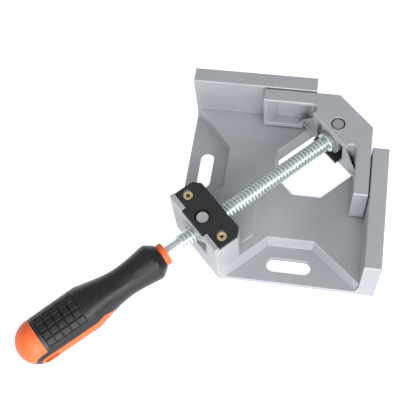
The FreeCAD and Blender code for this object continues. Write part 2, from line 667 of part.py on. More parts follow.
def make_screw(name, ahead, side, height, length, upside_down=False):
    """A countersunk plate screw, turned about its own axis with the head's face at height."""
    body = new_body(name)
    sketch = plain_sketch(body, name + "_profile")
    sink = "(screw_head - screw_round) / 2"
    draw_outline(sketch, [
        ("0", "0"),
        ("screw_head / 2", "0"),
        ("screw_round / 2", "-(%s)" % sink),
        ("screw_round / 2", "-(%s)" % length),
        ("0", "-(%s)" % length),
    ])
    add_turning(body, sketch, name + "_turning", "V_Axis")
    rotation = FreeCAD.Rotation(FreeCAD.Vector(1, 0, 0), 180) if upside_down else FreeCAD.Rotation()
    place(body, ahead=ahead, side=side, height=height, rotation=rotation)
    return body


def make_trunnion_nut():
    """The round nut that swings in the block: a barrel, two journals and the cross bore."""
    body = new_body("trunnion_nut")
    profile = plain_sketch(body, "nut_profile")
    draw_outline(profile, [
        ("0", "journal_foot"),
        ("journal_round / 2", "journal_foot"),
        ("journal_round / 2", "nut_low"),
        ("nut_round / 2", "nut_low"),
        ("nut_round / 2", "nut_high"),
        ("journal_round / 2", "nut_high"),
        ("journal_round / 2", "journal_top"),
        ("0", "journal_top"),
    ])
    add_turning(body, profile, "nut_turning", "V_Axis")
    bore = plain_sketch(body, "nut_cross_bore", "YZ_Plane")
    draw_circle(bore, "0", "spindle_height", "thread_round + 2 * running_gap")
    cut_both_ways(body, bore, "nut_round + 2 * cut_over", "nut_bore_cut")
    place(body, ahead="nut_distance")
    return body


def make_spindle():
    """The screw as a stepped shaft: tip with clip groove, thrust collar, threaded length, shank, tang."""
    body = new_body("spindle")
    profile = plain_sketch(body, "spindle_profile")
    draw_outline(profile, [
        ("tip_end", "0"),
        ("tip_end", "tip_round / 2 - tip_chamfer"),
        ("tip_end + tip_chamfer", "tip_round / 2"),
        ("clip_front - clip_thick - running_gap", "tip_round / 2"),
        ("clip_front - clip_thick - running_gap", "clip_groove / 2"),
        ("clip_front + running_gap", "clip_groove / 2"),
        ("clip_front + running_gap", "tip_round / 2"),
        ("collar_front", "tip_round / 2"),
        ("collar_front", "collar_round / 2"),
        ("collar_back", "collar_round / 2"),
        ("collar_back", "thread_round / 2 - screw_chamfer"),
        ("collar_back + screw_chamfer", "thread_round / 2"),
        ("thread_end - screw_chamfer", "thread_round / 2"),
        ("thread_end", "shank_round / 2"),
        ("grip_front + tang_long", "shank_round / 2"),
        ("grip_front + tang_long", "0"),
    ])
    add_turning(body, profile, "spindle_turning")
    place(body, height="spindle_height")
    return body


def make_ring(name, front, thick, outer, bore):
    """A flat ring on the screw, from its face nearer the handle towards the corner."""
    body = new_body(name)
    profile = plain_sketch(body, name + "_profile")
    draw_outline(profile, [
        ("-(%s)" % thick, "(%s) / 2" % bore),
        ("-(%s)" % thick, "(%s) / 2" % outer),
        ("0", "(%s) / 2" % outer),
        ("0", "(%s) / 2" % bore),
    ])
    add_turning(body, profile, name + "_turning")
    place(body, ahead=front, height="spindle_height")
    return body


def make_pivot_block():
    """The block that the screw pushes: round below, with a journal up and down and the tip's bore."""
    body = new_body("pivot_block")
    front = new_sketch(body, "pivot_front_outline", rotation=ACROSS_LINE, ahead="block_reach")
    corner = "block_round * (1 - 1 / sqrt(2))"
    draw_outline(front, [
        ("-block_half", "spindle_height - block_round + 2 * (%s)" % corner),
        ("-block_half + (%s)" % corner, "spindle_height - block_round"),
        ("block_half - (%s)" % corner, "spindle_height - block_round"),
        ("block_half", "spindle_height - block_round + 2 * (%s)" % corner),
        ("block_half", "block_top"),
        ("-block_half", "block_top"),
    ])
    add_pad(body, front, "2 * block_reach", "pivot_stock", reversed_way=True)
    foot = "lower_plate_top - plate_thick + free_gap"
    journals = new_sketch(body, "pivot_journal_outline", height=foot)
    draw_circle(journals, "0", "0", "pivot_round")
    add_pad(body, journals, "jaw_top - pivot_sunk - (%s)" % foot, "pivot_journals")
    bore = plain_sketch(body, "pivot_cross_bore", "YZ_Plane")
    draw_circle(bore, "0", "spindle_height", "tip_round + 2 * running_gap")
    cut_both_ways(body, bore, "2 * (block_reach + cut_over)", "pivot_bore_cut")
    backs = []
    for side in (-1, 1):
        back = FreeCAD.Vector(-number("block_reach"), side * number("block_half"), number("spindle_height"))
        backs += edges_at(body.Shape, back)
    round_edges(body, backs, "block_reach / 2", "pivot_back_rounds")
    place(body, ahead="jaw_pin_distance")
    return body


def make_moving_jaw():
    """The cast jaw: two hollow arms, a mouth for the pivot block and a rebate for the plate below."""
    body = new_body("moving_jaw")
    arm_in = "-jaw_face_in"
    diagonal = "-(sqrt(2) * jaw_face - jaw_face_in)"
    stock = new_sketch(body, "jaw_outline", height="jaw_bottom")
    draw_outline(stock, [
        ("-jaw_reach", "-jaw_gap"),
        ("-jaw_chamfer", "-jaw_gap"),
        ("-jaw_gap", "-jaw_chamfer"),
        ("-jaw_gap", "-jaw_reach"),
        (arm_in, "-jaw_reach"),
        (arm_in, diagonal),
        (diagonal, arm_in),
        ("-jaw_reach", arm_in),
    ])
    add_pad(body, stock, "jaw_top - jaw_bottom", "jaw_stock")

    # Each arm is hollow from the inside: a roof, a shelf, a thin pressing wall and a sloped end.
    back = "-(jaw_gap + jaw_skin)"
    open_side = "-jaw_face_in - cut_over"
    notch_middle = "-(jaw_face_in + notch_side) / 2"
    notch_wide = "notch_side - jaw_face_in"
    hollow = [
        ("-jaw_reach + jaw_skin", open_side),
        ("-jaw_reach + jaw_skin", arm_in),
        ("-jaw_reach + jaw_arm", back),
        ("-sqrt(2) * (jaw_face - hollow_depth)", back),
        ("-(notch_end + (%s) / 2)" % notch_wide, arm_in),
        ("-(notch_end + (%s) / 2)" % notch_wide, notch_middle),
        ("-sqrt(2) * jaw_front_cut - (%s)" % notch_middle, notch_middle),
        ("jaw_face_in - sqrt(2) * jaw_front_cut", open_side),
    ]
    for side, outline in (("left", hollow), ("right", mirrored(hollow))):
        sketch = new_sketch(body, side + "_arm_hollow_outline", height="jaw_top - jaw_roof")
        draw_outline(sketch, outline)
        add_pocket(body, sketch, "jaw_top - jaw_roof - shelf_top", side + "_arm_hollow")

    # A notch with a round end runs through the roof between each arm and the cheek of the mouth.
    notches = new_sketch(body, "notch_outlines", height="jaw_top")
    notch_long = "jaw_reach / 2"
    notch_centre = "-(notch_end + (%s) / 2)" % notch_long
    draw_slot(notches, notch_centre, notch_middle, notch_long, notch_wide)
    draw_slot(notches, notch_middle, notch_centre, notch_long, notch_wide, lengthwise=False)
    add_pocket(body, notches, "jaw_top - lower_plate_top - notch_floor", "roof_notches")

    # A gusset with a sloping top closes the foot of each notch in the jaw's inner diagonal face.
    gussets = new_sketch(body, "gusset_outlines", rotation=LINE_FROM_FENCES.multiply(ACROSS_LINE),
                         ahead="-jaw_face / sqrt(2)", side="-jaw_face / sqrt(2)")
    for sign in ("", "-"):
        draw_outline(gussets, [
            (sign + "jaw_mouth_front", "shelf_top"),
            (sign + "gusset_out", "shelf_top"),
            (sign + "(jaw_face - sqrt(2) * notch_side)", "jaw_top - gusset_drop"),
            (sign + "jaw_mouth_front", "jaw_top - gusset_drop"),
        ])
    add_pad(body, gussets, "gusset_thick", "gussets", reversed_way=True)

    mouth = new_sketch(body, "jaw_mouth_outline", height="jaw_mouth_top", rotation=LINE_FROM_FENCES)
    draw_outline(mouth, [
        ("jaw_mouth_end", "-jaw_mouth_back"),
        ("jaw_pin_distance", "-jaw_mouth_back"),
        ("jaw_front_cut", "-jaw_mouth_front"),
        ("jaw_front_cut", "jaw_mouth_front"),
        ("jaw_pin_distance", "jaw_mouth_back"),
        ("jaw_mouth_end", "jaw_mouth_back"),
    ])
    add_pocket(body, mouth, "jaw_mouth_top - lower_plate_top", "jaw_mouth")

    rebate = new_sketch(body, "jaw_rebate_outline", height="lower_plate_top", rotation=LINE_FROM_FENCES)
    gap = "seat_gap"
    draw_outline(rebate, [
        ("lower_plate_in - " + gap, "lower_plate_chamfer - lower_plate_half - " + gap),
        ("lower_plate_in - %s + lower_plate_chamfer" % gap, "-lower_plate_half - " + gap),
        ("lower_plate_out + " + gap, "-lower_plate_half - " + gap),
        ("lower_plate_out + " + gap, "-tongue_half - " + gap),
        ("jaw_front_cut", "-tongue_half - " + gap),
        ("jaw_front_cut", "tongue_half + " + gap),
        ("lower_plate_out + " + gap, "tongue_half + " + gap),
        ("lower_plate_out + " + gap, "lower_plate_half + " + gap),
        ("lower_plate_in - %s + lower_plate_chamfer" % gap, "lower_plate_half + " + gap),
        ("lower_plate_in - " + gap, "lower_plate_half - lower_plate_chamfer + " + gap),
    ])
    add_pocket(body, rebate, "lower_plate_top - jaw_bottom", "jaw_rebate")

    round_edges(body, level_edges(body.Shape, number("jaw_top")), "cast_round", "jaw_rounds")

    # The inner diagonal face leans back towards its foot.
    lean = new_sketch(body, "lean_outline", rotation=LINE_FROM_FENCES.multiply(ALONG_LINE))
    draw_outline(lean, [
        ("jaw_face", "jaw_top"),
        ("jaw_face - jaw_lean", "jaw_bottom"),
        ("jaw_face + jaw_lean", "jaw_bottom"),
    ])
    cut_both_ways(body, lean, "2 * (jaw_face - sqrt(2) * jaw_face_in)", "face_lean")

    pin_hole = new_sketch(body, "jaw_pin_hole_outline", height="jaw_top", rotation=LINE_FROM_FENCES)
    draw_circle(pin_hole, "jaw_pin_distance", "0", "pivot_round + 2 * running_gap")
    add_pocket(body, pin_hole, "jaw_top - jaw_mouth_top", "jaw_pin_hole")
    pin_relief = new_sketch(body, "jaw_pin_relief_outline", height="jaw_top", rotation=LINE_FROM_FENCES)
    draw_circle(pin_relief, "jaw_pin_distance", "0", "pivot_relief")
    add_pocket(body, pin_relief, "pivot_relief_depth", "jaw_pin_relief")
    screw_bores = new_sketch(body, "jaw_screw_bore_outlines", height="lower_plate_top",
                             rotation=LINE_FROM_FENCES)
    for sign in ("", "-"):
        draw_circle(screw_bores, "jaw_pin_distance - lower_screw_ahead", sign + "lower_screw_side",
                    "screw_round + 2 * running_gap")
    add_pocket(body, screw_bores, "lower_screw_length", "jaw_screw_bores", reversed_way=True)
    place(body, rotation=ON_FENCES)
    return body


def tangent_line(first, first_side, second, second_side):
    """End points of the line that touches two circles; a side is 1 below the line and -1 above it."""
    centre, radius = first
    other, other_radius = second
    across = other.x - centre.x
    rise = other.y - centre.y
    gap = first_side * radius - second_side * other_radius
    swing = math.acos(gap / math.hypot(across, rise)) - math.atan2(across, rise)
    if abs(swing) > math.pi / 2:
        swing = -math.acos(gap / math.hypot(across, rise)) - math.atan2(across, rise)
    normal = FreeCAD.Vector(-math.sin(swing), math.cos(swing), 0)
    return centre + normal * (first_side * radius), other + normal * (second_side * other_radius)


def draw_grip_profile(sketch):
    """Half profile of the handle: nose, bulge, waist, knee and round butt, all running on smoothly."""
    circles = []
    for place_name, height, curve, side in (
        ("bulge_place", "bulge_round / 2 - bulge_curve", "bulge_curve", 1),
        ("waist_place", "waist_round / 2 + waist_curve", "waist_curve", -1),
        ("knee_place", "knee_round / 2 - knee_curve", "knee_curve", 1),
        ("butt_centre", "0", "butt_round / 2", 1),
    ):
        centre = FreeCAD.Vector(number(place_name), number(height), 0)
        circles.append((centre, number(curve), side, (place_name, height, curve)))
    nose = FreeCAD.Vector(0, number("nose_round / 2"), 0)
    touches = [tangent_line((nose, 0.0), 1, circles[0][:2], circles[0][2])]
    for near, far in zip(circles, circles[1:]):
        touches.append(tangent_line(near[:2], near[2], far[:2], far[2]))
    end = FreeCAD.Vector(number("handle_long"), 0, 0)
    sketch.addGeometry(Part.LineSegment(FreeCAD.Vector(), nose))
    sketch.addConstraint(Sketcher.Constraint("Coincident", 0, 1, -1, 1))
    sketch.addConstraint(Sketcher.Constraint("Vertical", 0))
    previous = (0, 2)
    for index, (centre, radius, side, names) in enumerate(circles):
        start, touch = touches[index]
        leave = touches[index + 1][0] if index + 1 < len(touches) else end
        line = sketch.addGeometry(Part.LineSegment(start, touch))
        kind = "Tangent" if index else "Coincident"
        sketch.addConstraint(Sketcher.Constraint(kind, *previous, line, 1))
        angles = [math.atan2(point.y - centre.y, point.x - centre.x) for point in (touch, leave)]
        if side > 0:
            angles.reverse()
        arc = sketch.addGeometry(Part.ArcOfCircle(Part.Circle(centre, UP, radius), *angles))
        arrive, depart = (2, 1) if side > 0 else (1, 2)
        sketch.addConstraint(Sketcher.Constraint("Tangent", line, 2, arc, arrive))
        hold_point(sketch, arc, 3, names[0], names[1])
        sketch.addConstraint(Sketcher.Constraint("Radius", arc, radius))
        bind(sketch, "Constraints[%d]" % (sketch.ConstraintCount - 1), names[2])
        previous = (arc, depart)
    sketch.addConstraint(Sketcher.Constraint("DistanceY", 0, 2, number("nose_round / 2")))
    bind(sketch, "Constraints[%d]" % (sketch.ConstraintCount - 1), "nose_round / 2")
    axis = sketch.addGeometry(Part.LineSegment(end, FreeCAD.Vector()))
    sketch.addConstraint(Sketcher.Constraint("Coincident", *previous, axis, 1))
    sketch.addConstraint(Sketcher.Constraint("Coincident", axis, 2, -1, 1))
    sketch.addConstraint(Sketcher.Constraint("Horizontal", axis))


def make_handle():
    """The two handle pieces: an orange core with side panels and butt, and the black grip round it."""
    blank = new_body("handle_blank")
    profile = plain_sketch(blank, "grip_profile")
    draw_grip_profile(profile)
    add_turning(blank, profile, "grip_form")
    loop = plain_sketch(blank, "loop_outline")
    draw_slot(loop, "loop_place", "0", "loop_length", "loop_width")
    cut_both_ways(blank, loop, "2 * knee_round", "hanging_slot")

    # The core shows at the butt and at two side panels; the grip's rim runs round the panels' ends.
    inner = new_body("core_region")
    stages = [
        ("butt_block", "PartDesign::Pad"),
        ("rim_space", "PartDesign::Pocket"),
        ("side_panels", "PartDesign::Pad"),
        ("panel_ends", "PartDesign::Pad"),
    ]
    for name, kind in stages:
        sketch = plain_sketch(inner, name + "_outline")
        if name == "butt_block":
            draw_outline(sketch, [
                ("grip_end", "-butt_round"),
                ("handle_long + butt_round", "-butt_round"),
                ("handle_long + butt_round", "butt_round"),
                ("grip_end", "butt_round"),
            ])
        elif name == "rim_space":
            draw_slot(sketch, "stripe_end + rim_width - stripe_knee / 2", "0", "stripe_knee",
                      "2 * (stripe_half + rim_width)")
        elif name == "side_panels":
            draw_outline(sketch, [
                ("stripe_tip", "0"),
                ("stripe_knee", "-stripe_half"),
                ("stripe_end - stripe_half", "-stripe_half"),
                ("stripe_end - stripe_half", "stripe_half"),
                ("stripe_knee", "stripe_half"),
            ])
        else:
            draw_circle(sketch, "stripe_end - stripe_half", "0", "2 * stripe_half")
        stage = inner.newObject(kind, name)
        stage.Profile = sketch
        stage.Midplane = True
        bind(stage, "Length", "2 * knee_round")
        document.recompute()
    rod = plain_sketch(inner, "core_section", "YZ_Plane")
    bind(rod, "AttachmentOffset.Base.z", "-cut_over")
    draw_circle(rod, "0", "0", "core_round")
    add_pad(inner, rod, "grip_end + rim_width + cut_over", "core_rod")

    tang_bore = document.addObject("Part::Cylinder", "tang_bore")
    bind(tang_bore, "Radius", "shank_round / 2 + running_gap")
    bind(tang_bore, "Height", "tang_long + ring_long + seat_gap + cut_over")
    lying = FreeCAD.Rotation(FreeCAD.Vector(0, 1, 0), 90)
    tang_bore.Placement = FreeCAD.Placement(FreeCAD.Vector(), lying)
    bind(tang_bore, "Placement.Base.x", "-ring_long - cut_over")
    ring = document.addObject("Part::Cylinder", "ring_stock")
    bind(ring, "Radius", "ring_round / 2")
    bind(ring, "Height", "ring_long")
    ring.Placement = FreeCAD.Placement(FreeCAD.Vector(), lying)
    bind(ring, "Placement.Base.x", "-ring_long")

    core_stock = document.addObject("Part::Common", "core_stock")
    core_stock.Base = blank
    core_stock.Tool = inner
    core_ring = document.addObject("Part::Fuse", "core_with_ring")
    core_ring.Base = core_stock
    core_ring.Tool = ring
    core = document.addObject("Part::Cut", "handle_core")
    core.Base = core_ring
    core.Tool = tang_bore
    core.Label = "handle_core"
    grip = document.addObject("Part::Cut", "handle_grip")
    grip.Base = blank
    grip.Tool = inner
    grip.Label = "handle_grip"
    for piece in (core, grip):
        roll = FreeCAD.Rotation(FreeCAD.Vector(1, 0, 0), -number("handle_roll"))
        place(piece, ahead="grip_front", height="spindle_height", rotation=ON_CLAMP_LINE.multiply(roll))
    return [core, grip]


pieces = [
    make_base_frame(),
    make_plate("nut_cover_plate", "plate_inner", "plate_outer", "plate_half", "plate_chamfer", "tongue_reach",
               "journal_round + 2 * running_gap", "plate_screw_ahead", "plate_screw_side", "plate_top",
               "nut_distance", relief="journal_relief"),
    make_plate("jaw_retaining_plate", "lower_plate_inner", "lower_plate_outer", "lower_plate_half",
               "lower_plate_chamfer", "lower_tongue_reach", "pivot_round + 2 * running_gap",
               "lower_screw_ahead", "lower_screw_side", "lower_plate_top", "jaw_pin_distance"),
    make_trunnion_nut(),
    make_spindle(),
    make_ring("thrust_washer", "block_front + washer_thick + seat_gap / 2", "washer_thick", "washer_round",
              "tip_round + 2 * running_gap"),
    make_ring("end_washer", "end_washer_front", "washer_thick", "end_washer_round",
              "tip_round + 2 * running_gap"),
    make_ring("retaining_clip", "clip_front", "clip_thick", "clip_round", "clip_groove + 2 * running_gap"),
    make_pivot_block(),
    make_moving_jaw(),
]
for side, sign in (("left", "-"), ("right", "")):
    pieces.append(make_screw("cover_screw_" + side, "nut_distance - plate_screw_ahead",
                             sign + "plate_screw_side", "plate_top - head_sunk", "screw_length"))
    pieces.append(make_screw("jaw_screw_" + side, "jaw_pin_distance - lower_screw_ahead",
                             sign + "lower_screw_side", "lower_plate_top - plate_thick + head_sunk",
                             "lower_screw_length", upside_down=True))
pieces.extend(make_handle())
document.recompute()

for item in document.Objects:
    if {"Invalid", "Error"} & set(item.State):
        raise RuntimeError("%s failed: %s" % (item.Label, item.State))
for piece in pieces:
    if piece.Shape.isNull() or not piece.Shape.isValid() or not piece.Shape.Solids:
        raise RuntimeError(piece.Label + " has no sound solid")

os.makedirs("parts", exist_ok=True)
for piece in pieces:
    piece.Shape.exportStep("parts/%s.step" % piece.Label)
    print("%-22s %8.0f cubic millimetres" % (piece.Label, piece.Shape.Volume))
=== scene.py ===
import math

import bmesh
import bpy
import numpy as np
from mathutils import Matrix, Vector


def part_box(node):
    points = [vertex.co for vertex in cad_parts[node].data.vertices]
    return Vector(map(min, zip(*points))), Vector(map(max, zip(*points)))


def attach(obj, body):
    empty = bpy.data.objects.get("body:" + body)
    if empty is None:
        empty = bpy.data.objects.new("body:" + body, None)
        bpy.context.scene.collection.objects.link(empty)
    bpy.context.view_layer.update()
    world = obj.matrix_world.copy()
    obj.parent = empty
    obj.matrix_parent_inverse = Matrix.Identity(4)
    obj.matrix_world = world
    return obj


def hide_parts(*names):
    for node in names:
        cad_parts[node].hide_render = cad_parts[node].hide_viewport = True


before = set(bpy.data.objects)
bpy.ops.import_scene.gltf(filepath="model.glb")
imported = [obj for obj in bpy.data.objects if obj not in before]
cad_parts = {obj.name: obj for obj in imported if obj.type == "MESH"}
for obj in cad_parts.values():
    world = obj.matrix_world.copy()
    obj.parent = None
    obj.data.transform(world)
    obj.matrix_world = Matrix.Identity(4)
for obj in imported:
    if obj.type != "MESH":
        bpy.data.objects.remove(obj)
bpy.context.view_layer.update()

# The viewpoint: the clamp lies on a bench, seen from above the handle's near side, a little turned,
# through a long lens.
eye = Vector((-0.18732, -0.22363, 0.55775))
looks_at = Vector((-0.05846, 0.01675, 0.02))
camera_turn = math.radians(-8.83)
camera = bpy.data.objects.new("camera", bpy.data.cameras.new("camera"))
camera.data.sensor_width = 36.0
camera.data.lens = 68.2
aim = (looks_at - eye).to_track_quat("-Z", "Y").to_matrix().to_4x4()
camera.matrix_world = Matrix.Translation(eye) @ aim @ Matrix.Rotation(camera_turn, 4, "Z")
bpy.context.scene.collection.objects.link(camera)
bpy.context.scene.camera = camera
bpy.context.scene.view_settings.view_transform = "Standard"


# The bench top: one pale sheet just under the clamp. The camera and the glosses see it as nearly
# white, with the clamp's soft shadow on it, and it throws only its own plain colour on the clamp.
def new_material(name, colour, roughness, metallic=0.0):
    """A material with its plain values on the shader's own sockets; gives it with its nodes, links and
    shader."""
    material = bpy.data.materials.new(name)
    material.use_nodes = True
    nodes = material.node_tree.nodes
    shader = nodes["Principled BSDF"]
    shader.inputs["Base Color"].default_value = (*colour, 1.0)
    shader.inputs["Roughness"].default_value = roughness
    shader.inputs["Metallic"].default_value = metallic
    return material, nodes, material.node_tree.links, shader


def mesh_object(name, points, faces, smooth=True):
    """A mesh from an array of points and one of faces, linked at the origin."""
    mesh = bpy.data.meshes.new(name)
    mesh.from_pydata(points.tolist(), [], faces.tolist())
    mesh.polygons.foreach_set("use_smooth", [smooth] * len(mesh.polygons))
    mesh.update()
    piece = bpy.data.objects.new(name, mesh)
    bpy.context.scene.collection.objects.link(piece)
    return piece


bench_half = 3.0
bench_drop = 0.0005
corners = np.array([(-1, -1), (1, -1), (1, 1), (-1, 1)]) * bench_half
sheet = np.column_stack([corners, np.full(4, -bench_drop)])
bench = mesh_object("bench_top", sheet, np.arange(4).reshape(1, 4), smooth=False)
bench_paint, nodes, links, shader = new_material("bench_paint", (0.62, 0.62, 0.62), 0.9)
glow = nodes.new("ShaderNodeEmission")
glow.inputs["Strength"].default_value = 0.78
seen_by = nodes.new("ShaderNodeLightPath")
eye_or_gloss = nodes.new("ShaderNodeMath")
eye_or_gloss.operation = "MAXIMUM"
lit_and_glowing = nodes.new("ShaderNodeAddShader")
shown_bench = nodes.new("ShaderNodeMixShader")
links.new(seen_by.outputs["Is Camera Ray"], eye_or_gloss.inputs[0])
links.new(seen_by.outputs["Is Glossy Ray"], eye_or_gloss.inputs[1])
links.new(shader.outputs[0], lit_and_glowing.inputs[0])
links.new(glow.outputs[0], lit_and_glowing.inputs[1])
links.new(eye_or_gloss.outputs[0], shown_bench.inputs[0])
links.new(shader.outputs[0], shown_bench.inputs[1])
links.new(lit_and_glowing.outputs[0], shown_bench.inputs[2])
links.new(shown_bench.outputs[0], nodes["Material Output"].inputs[0])
bench.data.materials.append(bench_paint)

# The room: an even pale surround, brighter where a gloss looks into it and white to the camera.
# It fills the shadows softly.
room = bpy.data.worlds.new("room")
bpy.context.scene.world = room
room.use_nodes = True
room_nodes, room_links = room.node_tree.nodes, room.node_tree.links
room_light = room_nodes["Background"]
room_light.inputs["Color"].default_value = (1.0, 1.0, 1.0, 1.0)
room_light.inputs["Strength"].default_value = 0.34
room_seen = room_nodes.new("ShaderNodeLightPath")
shown = room_light.outputs[0]
for ray, strength in (("Is Glossy Ray", 0.52), ("Is Camera Ray", 1.0)):
    bright_room = room_nodes.new("ShaderNodeBackground")
    bright_room.inputs["Color"].default_value = (1.0, 1.0, 1.0, 1.0)
    bright_room.inputs["Strength"].default_value = strength
    room_mix = room_nodes.new("ShaderNodeMixShader")
    room_links.new(room_seen.outputs[ray], room_mix.inputs[0])
    room_links.new(shown, room_mix.inputs[1])
    room_links.new(bright_room.outputs[0], room_mix.inputs[2])
    shown = room_mix.outputs[0]
room_links.new(shown, room_nodes["World Output"].inputs[0])

# The lamps: four soft boxes round the handle's near side, two of them low, so walls that face them
# are brighter than the floor and the upper side of the grip stays dark. The wide flat one draws the
# gleam along the screw, and a faint fifth keeps the left side out of the dark.
lamp_reach = 1.4
clamp_middle = Vector((-0.04, 0.0, 0.02))


def soft_box(name, bearing, height_angle, width, tall, power):
    """An area lamp that faces the clamp's middle, from a bearing and a height in degrees."""
    across, up = math.radians(bearing), math.radians(height_angle)
    level = math.cos(up)
    out = Vector((level * math.cos(across), level * math.sin(across), math.sin(up))) * lamp_reach
    lamp = bpy.data.lights.new(name, "AREA")
    lamp.shape = "RECTANGLE"
    lamp.size = width
    lamp.size_y = tall
    lamp.energy = power
    stand = bpy.data.objects.new(name, lamp)
    facing = (-out).to_track_quat("-Z", "Y").to_matrix().to_4x4()
    stand.matrix_world = Matrix.Translation(clamp_middle + out) @ facing
    bpy.context.scene.collection.objects.link(stand)


soft_box("gleam_box", bearing=-68, height_angle=33, width=1.2, tall=0.35, power=8.5)
soft_box("low_right_box", bearing=-90, height_angle=15, width=0.8, tall=0.8, power=4.0)
soft_box("high_near_box", bearing=-138, height_angle=45, width=1.0, tall=1.0, power=9.3)
soft_box("low_near_box", bearing=-130, height_angle=15, width=0.8, tall=0.8, power=12.5)
soft_box("left_box", bearing=180, height_angle=35, width=0.8, tall=0.8, power=1.0)


# The castings: the base with its fences, floor and nut block in one piece, and the jaw. Die-cast
# aluminium, blasted and coated silver grey, with rubbed edges lightened further by a painted highlight
# and painted shade darkening the inner corners. The jaw's pivot block is finished like them, a little
# darker and less blue.
def grain_bump(nodes, links, shader, size, height, detail=3.0):
    """Bumps the surface with a grain of a size in metres, over what shapes its normal already."""
    place = nodes.new("ShaderNodeTexCoord").outputs["Object"]
    grain = nodes.new("ShaderNodeTexNoise")
    grain.inputs["Scale"].default_value = 1.0 / size
    grain.inputs["Detail"].default_value = detail
    bump = nodes.new("ShaderNodeBump")
    bump.inputs["Strength"].default_value = 1.0
    bump.inputs["Distance"].default_value = height
    links.new(place, grain.inputs["Vector"])
    links.new(grain.outputs["Fac"], bump.inputs["Height"])
    if shader.inputs["Normal"].is_linked:
        links.new(shader.inputs["Normal"].links[0].from_socket, bump.inputs["Normal"])
    links.new(bump.outputs["Normal"], shader.inputs["Normal"])
    return place


def mottle(nodes, links, place, low, high, size):
    """A cloudy colour between low and high, with clouds of a size in metres."""
    cloud = nodes.new("ShaderNodeTexNoise")
    cloud.inputs["Scale"].default_value = 1.0 / size
    cloud.inputs["Detail"].default_value = 4.0
    ramp = nodes.new("ShaderNodeValToRGB")
    ramp.color_ramp.elements[0].position = 0.3
    ramp.color_ramp.elements[0].color = (*low, 1.0)
    ramp.color_ramp.elements[1].position = 0.7
    ramp.color_ramp.elements[1].color = (*high, 1.0)
    links.new(place, cloud.inputs["Vector"])
    links.new(cloud.outputs["Fac"], ramp.inputs["Fac"])
    return ramp.outputs["Color"]


def colour_mix(nodes, links, share, base, other):
    """Mixes a linked colour towards a plain one by a linked share."""
    mix = nodes.new("ShaderNodeMix")
    mix.data_type = "RGBA"
    mix.inputs["B"].default_value = (*other, 1.0)
    links.new(share, mix.inputs["Factor"])
    links.new(base, mix.inputs["A"])
    return mix.outputs["Result"]


def paint_recess_shade(nodes, links, shader, base, reach, dark):
    """Paints shade: lets a colour and the shine fall away where walls nearer than reach close a place in.
    """
    closed = nodes.new("ShaderNodeAmbientOcclusion")
    closed.samples = 8
    closed.inputs["Distance"].default_value = reach
    share = nodes.new("ShaderNodeMapRange")
    share.inputs["From Min"].default_value = 0.55
    share.inputs["From Max"].default_value = 0.05
    shine = nodes.new("ShaderNodeMapRange")
    shine.inputs["From Min"].default_value = 0.1
    shine.inputs["From Max"].default_value = 0.8
    shine.inputs["To Max"].default_value = 0.5
    links.new(closed.outputs["AO"], share.inputs["Value"])
    links.new(closed.outputs["AO"], shine.inputs["Value"])
    links.new(colour_mix(nodes, links, share.outputs["Result"], base, dark), shader.inputs["Base Color"])
    links.new(shine.outputs["Result"], shader.inputs["Specular IOR Level"])


def rounded_edges(nodes, radius):
    """The surface's normal, rounded over a radius at edges."""
    soft_edge = nodes.new("ShaderNodeBevel")
    soft_edge.samples = 8
    soft_edge.inputs["Radius"].default_value = radius
    return soft_edge.outputs["Normal"]


def edge_share(nodes, links, rounded):
    """How far a place lies in the round of an edge: the rounded normal's lean from the flat one."""
    flat = nodes.new("ShaderNodeNewGeometry")
    lean = nodes.new("ShaderNodeVectorMath")
    lean.operation = "DOT_PRODUCT"
    share = nodes.new("ShaderNodeMapRange")
    share.inputs["From Min"].default_value = 1.0
    share.inputs["From Max"].default_value = 0.75
    links.new(rounded, lean.inputs[0])
    links.new(flat.outputs["Normal"], lean.inputs[1])
    links.new(lean.outputs["Value"], share.inputs["Value"])
    return share.outputs["Result"]


def worn_casting_with_painted_light(name, low, high, worn_and_highlit):
    """Cast metal with a cloudy colour between low and high, a fine grain, brighter rubbed edges whose
    lightening is partly a painted highlight, and painted shade in its recesses.
    """
    material, nodes, links, shader = new_material(name, high, 0.42, metallic=0.25)
    rounded = rounded_edges(nodes, radius=0.0007)
    links.new(rounded, shader.inputs["Normal"])
    place = grain_bump(nodes, links, shader, size=0.00035, height=0.00003)
    cloud = mottle(nodes, links, place, low, high, size=0.02)
    # Rubbed edges: partly wear, partly a painted highlight of light on their rounds.
    rubbed_and_highlit = colour_mix(nodes, links, edge_share(nodes, links, rounded), cloud, worn_and_highlit)
    # Painted shade: colour and shine fall away in the recesses and inner corners.
    paint_recess_shade(nodes, links, shader, rubbed_and_highlit, reach=0.014, dark=tuple(value * 0.3 for value in low))
    uneven = mottle(nodes, links, place, (0.38, 0.38, 0.38), (0.48, 0.48, 0.48), size=0.004)
    links.new(uneven, shader.inputs["Roughness"])
    return material


def dress(node, material):
    """Gives all faces of a carried-over node one material."""
    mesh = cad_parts[node].data
    mesh.materials.clear()
    mesh.materials.append(material)
    mesh.polygons.foreach_set("material_index", [0] * len(mesh.polygons))


casting = worn_casting_with_painted_light("blasted_casting", low=(0.380, 0.397, 0.425), high=(0.410, 0.428, 0.458),
                       worn_and_highlit=(0.56, 0.58, 0.61))
for node in ("base_frame", "moving_jaw"):
    dress(node, casting)
dress("pivot_block", worn_casting_with_painted_light("pressed_block", low=(0.30, 0.30, 0.305), high=(0.34, 0.34, 0.345),
                                  worn_and_highlit=(0.46, 0.46, 0.47)))


# The two black plates: cut from sheet steel, blackened and oiled, and darkest round the holes and edges
# from painted shade.
# One closes the nut block and one lies under the jaw, each held by two screws.
def fading_shine(nodes, links, shader, share, clean, dull):
    """Lets the shine fall from clean to dull with a linked share."""
    shine = nodes.new("ShaderNodeMapRange")
    shine.inputs["To Min"].default_value = clean
    shine.inputs["To Max"].default_value = dull
    links.new(share, shine.inputs["Value"])
    links.new(shine.outputs["Result"], shader.inputs["Specular IOR Level"])


